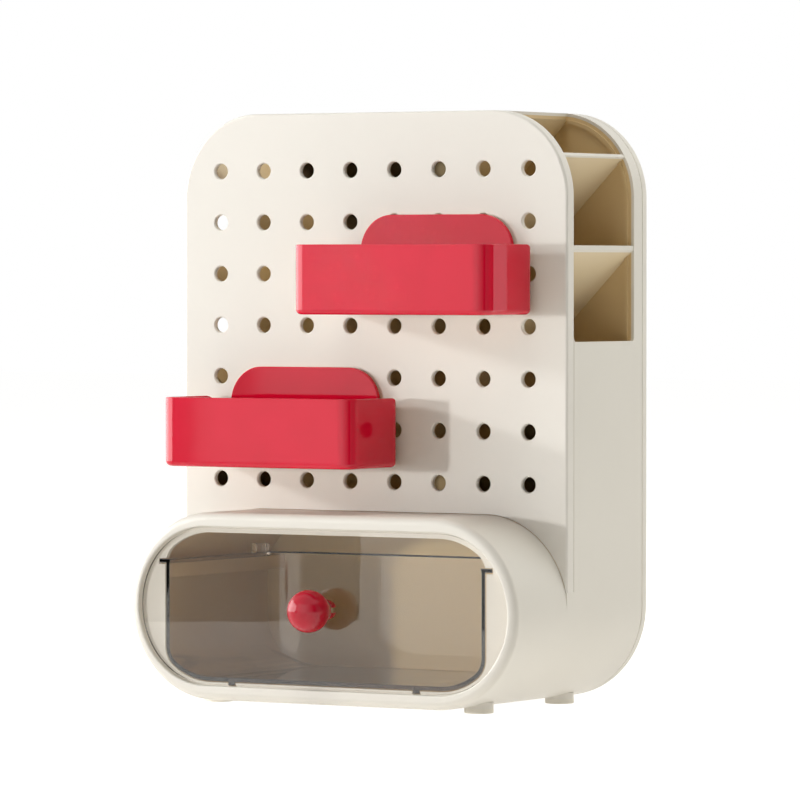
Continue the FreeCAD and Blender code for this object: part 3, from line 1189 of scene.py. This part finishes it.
@dataclass
class ClearDrawer:
    """Clear front plate, clear box and the red ball knob with its split stud."""

    front: str = "drawer_front"
    box: str = "drawer_box"
    knob: str = "drawer_knob"
    plate_round: float = 0.35
    hole_r: float = 4.0
    knob_r: float = 8.2
    neck_r: float = 4.3
    neck_fillet: float = 0.8
    stud_r: float = 3.9
    barb_r: float = 4.4
    barb_gap: float = 0.25
    barb_rise: float = 0.15
    tip_r: float = 3.8
    stud_slot: float = 2.0
    box_round: float = 0.25
    weld: float = 0.002

    def _plate(self, axis_z: float) -> Piece:
        """Models the stadium-shaped front plate with its hole.

        Args:
            axis_z: Height of the knob's axis.

        Returns:
            The plate.
        """
        low, high = (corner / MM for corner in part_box(self.front))
        radius = (high.z - low.z) / 2.0
        middle = ((low.x + high.x) / 2.0, (low.y + high.y) / 2.0, (low.z + high.z) / 2.0)
        sides = 160
        plate = Bench.rod("front_plate_clear", radius / math.cos(math.pi / sides),
                          high.y - low.y, middle, Axis.Y, sides=sides, turn=math.pi / sides)
        reach = (high.x - low.x) / 2.0 - radius
        plate.pick(Part.CORNER, lambda m, c, n: m.x > 0.0).slide((reach, 0.0, 0.0))
        plate.pick(Part.CORNER, lambda m, c, n: m.x < 0.0).slide((-reach, 0.0, 0.0))
        plate.bore(Bench.rod("hole", self.hole_r, 10.0, (0.0, middle[1], axis_z), Axis.Y))
        plate.soften(self.plate_round, 4)
        return plate.done()

    def _knob(self, axis_z: float) -> Piece:
        """Models the ball, its neck and the split stud behind the plate.

        Args:
            axis_z: Height of the knob's axis.

        Returns:
            The knob.
        """
        low, high = (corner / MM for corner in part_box(self.knob))
        plate = [corner.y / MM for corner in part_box(self.front)]
        ball_y = low.y + self.knob_r
        waist = ball_y + math.sqrt(self.knob_r ** 2 - self.neck_r ** 2)
        knob = Bench.ball("ball_knob", self.knob_r, (0.0, ball_y, axis_z), Axis.Y)
        knob.cut_off((0.0, waist, axis_z), (0.0, 1.0, 0.0), fill=True)
        knob.pick(Part.FACE, lambda m, c, n: n.y > 0.99 and close(m.y, waist))
        knob.extrude((0.0, plate[0] - waist, 0.0))
        knob.pick(Part.FACE, lambda m, c, n: n.y > 0.99 and close(m.y, plate[0]))
        knob.inset(self.neck_r - self.stud_r)
        knob.extrude((0.0, plate[1] - plate[0] + self.barb_gap, 0.0))
        knob.extrude((0.0, self.barb_rise, 0.0))
        share = self.barb_r / self.stud_r
        knob.scale((share, 1.0, share), (0.0, 0.0, axis_z))
        knob.extrude((0.0, high.y - plate[1] - self.barb_gap - self.barb_rise, 0.0))
        share = self.tip_r / self.barb_r
        knob.scale((share, 1.0, share), (0.0, 0.0, axis_z))
        knob.pick(Part.EDGE, on_ring(Axis.Y, (0.0, waist, axis_z), self.neck_r, 0.05))
        knob.bevel(self.neck_fillet, 5)
        knob.bore(Bench.block("slot", (-9.0, plate[1], axis_z - self.stud_slot / 2.0),
                              (9.0, high.y + 2.0, axis_z + self.stud_slot / 2.0)))
        return knob.done()

    def _box(self) -> Piece:
        """Merges the frame's clear box into one skin and rounds its edges.

        Returns:
            The drawer's box.
        """
        Bench.clear()
        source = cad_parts[self.box]
        piece = bpy.data.objects.new("drawer_box_clear", source.data.copy())
        bpy.context.scene.collection.objects.link(piece)
        box = Bench(piece)
        box.everything()
        bpy.ops.mesh.customdata_custom_splitnormals_clear()
        bpy.ops.mesh.remove_doubles(threshold=self.weld * MM)
        bpy.ops.mesh.dissolve_limited(angle_limit=math.radians(1.0))
        box.soften(self.box_round, 2, 30.0)
        return box.done()

    def build(self, paints: Paintbox) -> None:
        """Models the three pieces and seats them on the drawer.

        Args:
            paints: The finishes.
        """
        low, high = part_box(self.knob)
        axis_z = (low.z + high.z) / 2.0 / MM
        seat(self._plate(axis_z), "drawer", "clear_plastic", paints.clear, self.front)
        seat(self._box(), "drawer", "clear_plastic", paints.smoky, self.box)
        seat(self._knob(axis_z), "drawer", "red_gloss", paints.knob, self.knob)


# ---- Studio ----

def heading(azimuth: float, elevation: float) -> Vector:
    """The unit vector towards an azimuth, 0 in front and -90 at the left, and an elevation."""
    a, e = math.radians(azimuth), math.radians(elevation)
    return Vector((math.sin(a) * math.cos(e), -math.cos(a) * math.cos(e), math.sin(e)))


@dataclass(frozen=True)
class Softbox:
    """A flat lamp that faces the organizer.

    Its direction is given by azimuth, 0 in front and -90 at the left, and by elevation. The
    radiance is how bright its face is beside a white sheet in full light, which is 1.
    """

    name: str
    azimuth: float
    elevation: float
    distance: float
    width: float
    height: float
    radiance: float
    mirrored: bool = True
    colour: tuple[float, float, float] = WHITE[:3]
    aim: Place = (0.0, 0.0, 0.114)

    def build(self) -> None:
        """Hangs the lamp."""
        way = heading(self.azimuth, self.elevation)
        light = bpy.data.lights.new(self.name, "AREA")
        light.shape = "RECTANGLE"
        light.size, light.size_y = self.width, self.height
        light.energy = self.radiance * math.pi * self.width * self.height
        light.color = self.colour
        lamp = bpy.data.objects.new(self.name, light)
        lamp.matrix_world = (Matrix.Translation(Vector(self.aim) + way * self.distance)
                             @ way.to_track_quat("Z", "Y").to_matrix().to_4x4())
        lamp.visible_camera = False
        lamp.visible_transmission = False
        lamp.visible_glossy = self.mirrored
        bpy.context.scene.collection.objects.link(lamp)
        log.info("%s hung at azimuth %.0f, elevation %.0f", self.name, self.azimuth,
                 self.elevation)


@dataclass(frozen=True)
class Card:
    """An upright card outside the picture, which only mirror reflections show.

    It spans two azimuths and stands from the floor up to a height. Its radiance passes evenly
    from that of its first edge to that of its second.
    """

    name: str
    azimuths: tuple[float, float]
    radiances: tuple[float, float]
    distance: float = 1.45
    top: float = 1.1

    def build(self) -> None:
        """Stands the card up."""
        start, end = (heading(azimuth, 0.0) * self.distance for azimuth in self.azimuths)
        along = end - start
        width = along.length
        Bench.clear()
        bpy.ops.mesh.primitive_plane_add(size=1.0)
        card = bpy.context.object
        card.name = self.name
        bpy.ops.object.mode_set(mode="EDIT")
        bpy.ops.mesh.select_all(action="SELECT")
        bpy.ops.transform.resize(value=(width, self.top, 1.0))
        bpy.ops.object.mode_set(mode="OBJECT")
        middle = (start + end) / 2.0 + Vector((0.0, 0.0, self.top / 2.0))
        side, up = along.normalized(), Vector((0.0, 0.0, 1.0))
        turned = Matrix((side, up, side.cross(up))).transposed().to_4x4()
        card.matrix_world = Matrix.Translation(middle) @ turned
        recipe = Recipe(self.name)
        share = recipe.math("ADD", recipe.math("DIVIDE", recipe.across()[0], width), 0.5)
        glow = recipe.node("ShaderNodeEmission", Color=WHITE,
                           Strength=recipe.ramp(share, *self.radiances))
        dress(card, recipe.finish(glow.outputs["Emission"]))
        card.visible_camera = False
        card.visible_diffuse = False
        card.visible_transmission = False
        card.visible_shadow = False


@dataclass
class Studio:
    """White studio: floor, faint light all round, lamps, mirror cards and the camera.

    The floor glows as much as floor_glow for the light it throws. Where it is seen it glows
    from floor_near under the organizer to floor_white at floor_clear metres and beyond.
    """

    surround: float = 0.06
    surround_colour: Colour = (*WARM_LIGHT, 1.0)
    floor_size: float = 12.0
    floor_colour: Colour = (0.80, 0.775, 0.73, 1.0)
    floor_glow: float = 0.27
    floor_white: float = 0.95
    floor_near: float = 0.80
    floor_clear: float = 0.45
    lamps: tuple[Softbox, ...] = (
        Softbox("key_left", -71.0, 14.5, 2.2, 0.50, 0.18, 74.0),
        Softbox("spot_front_left", -32.0, 1.5, 2.2, 0.10, 0.10, 450.0, mirrored=False),
        Softbox("fill_front", 0.0, 30.0, 1.30, 0.50, 0.50, 0.6, False, WARM_LIGHT),
        Softbox("fill_right", 112.0, 25.0, 1.30, 0.50, 0.50, 2.2, False, WARM_LIGHT),
        Softbox("fill_right_back", 140.0, 30.0, 1.30, 0.50, 0.50, 2.4, False, WARM_LIGHT),
        Softbox("fill_behind", 165.0, 20.0, 1.30, 0.50, 0.50, 3.2, False, WARM_LIGHT),
        Softbox("fill_behind_low", 135.0, 5.0, 1.30, 0.50, 0.20, 5.0, False, WARM_LIGHT),
        Softbox("fill_above", 20.0, 80.0, 1.20, 0.50, 0.50, 8.0, False, WARM_LIGHT),
    )
    cards: tuple[Card, ...] = (
        Card("bright_card_left", (-112.0, -38.5), (4.0, 6.0), top=0.7),
        Card("dim_card_left", (-38.5, -35.0), (0.65, 0.65)),
        Card("bright_card_front", (-35.0, 10.6), (1.8, 1.8)),
        Card("fading_card_front", (10.6, 63.8), (1.8, 0.02)),
        Card("dark_card_near", (63.8, 70.6), (0.0, 0.0)),
        Card("dim_card_right", (70.6, 137.7), (0.45, 0.10)),
        Card("dark_card_far", (137.7, 143.7), (0.0, 0.0)),
        Card("dark_card_low", (-40.0, -28.9), (0.05, 0.05), distance=0.6, top=0.07),
    )
    camera_at: Place = (1.20228, -1.90852, 0.16678)
    camera_azimuth: float = 31.997
    camera_elevation: float = 1.259
    lens: float = 263.05

    def _world(self) -> None:
        """White where it is seen, mirrored or shone through, and softer as light."""
        world = bpy.data.worlds.new("white_studio")
        world.use_nodes = True
        bpy.context.scene.world = world
        nodes = Wiring(world.node_tree)
        light = nodes.node("ShaderNodeBackground", Color=self.surround_colour,
                           Strength=self.surround)
        white = nodes.node("ShaderNodeBackground", Color=WHITE, Strength=1.0)
        nodes.node("ShaderNodeOutputWorld", Surface=nodes.mix(
            nodes.seen(), light.outputs["Background"], white.outputs["Background"]))

    def _floor(self) -> None:
        """A pale floor that keeps the organizer's shadow and meets the white behind it."""
        Bench.clear()
        bpy.ops.mesh.primitive_plane_add(size=self.floor_size, location=(0.0, 0.0, 0.0))
        floor = bpy.context.object
        floor.name = "studio_floor"
        recipe = Recipe("pale_floor")
        x, y, _ = recipe.across()
        square = recipe.math("ADD", recipe.math("MULTIPLY", x, x),
                             recipe.math("MULTIPLY", y, y))
        far = recipe.math("DIVIDE", square, self.floor_clear ** 2, clamp=True)
        more = recipe.math("MULTIPLY", recipe.seen(), recipe.ramp(
            far, self.floor_near - self.floor_glow, self.floor_white - self.floor_glow))
        matt = recipe.node("ShaderNodeBsdfDiffuse", Color=self.floor_colour)
        glow = recipe.node("ShaderNodeEmission", Color=WHITE,
                           Strength=recipe.math("ADD", more, self.floor_glow))
        lit = recipe.node("ShaderNodeAddShader")
        recipe.set(lit.inputs[0], matt.outputs["BSDF"])
        recipe.set(lit.inputs[1], glow.outputs["Emission"])
        dress(floor, recipe.finish(lit.outputs["Shader"]))

    def _camera(self) -> None:
        """The camera, level with the trays and to the right of the front."""
        turn = math.radians(self.camera_azimuth)
        right = Vector((math.cos(turn), math.sin(turn), 0.0))
        back = heading(self.camera_azimuth, self.camera_elevation)
        up = back.cross(right)
        turned = Matrix((right, up, back)).transposed().to_4x4()
        data = bpy.data.cameras.new("studio_camera")
        data.lens = self.lens
        data.sensor_width = 36.0
        data.clip_start, data.clip_end = 0.1, 50.0
        camera = bpy.data.objects.new("studio_camera", data)
        camera.matrix_world = Matrix.Translation(Vector(self.camera_at)) @ turned
        bpy.context.scene.collection.objects.link(camera)
        bpy.context.scene.camera = camera

    def build(self) -> None:
        """Sets the studio up."""
        bpy.context.scene.view_settings.view_transform = "Standard"
        self._camera()
        self._world()
        self._floor()
        for light in (*self.lamps, *self.cards):
            light.build()


def main() -> None:
    """Sets up the studio and builds every sub-assembly in order."""
    logging.basicConfig(level=logging.INFO, format="%(name)s: %(message)s")
    Studio().build()
    paints = Paintbox.mixed()
    for assembly in (Tower(), CoverScrews(), Feet(), Trays(), ClearDrawer()):
        assembly.build(paints)


if __name__ == "__main__":
    main()
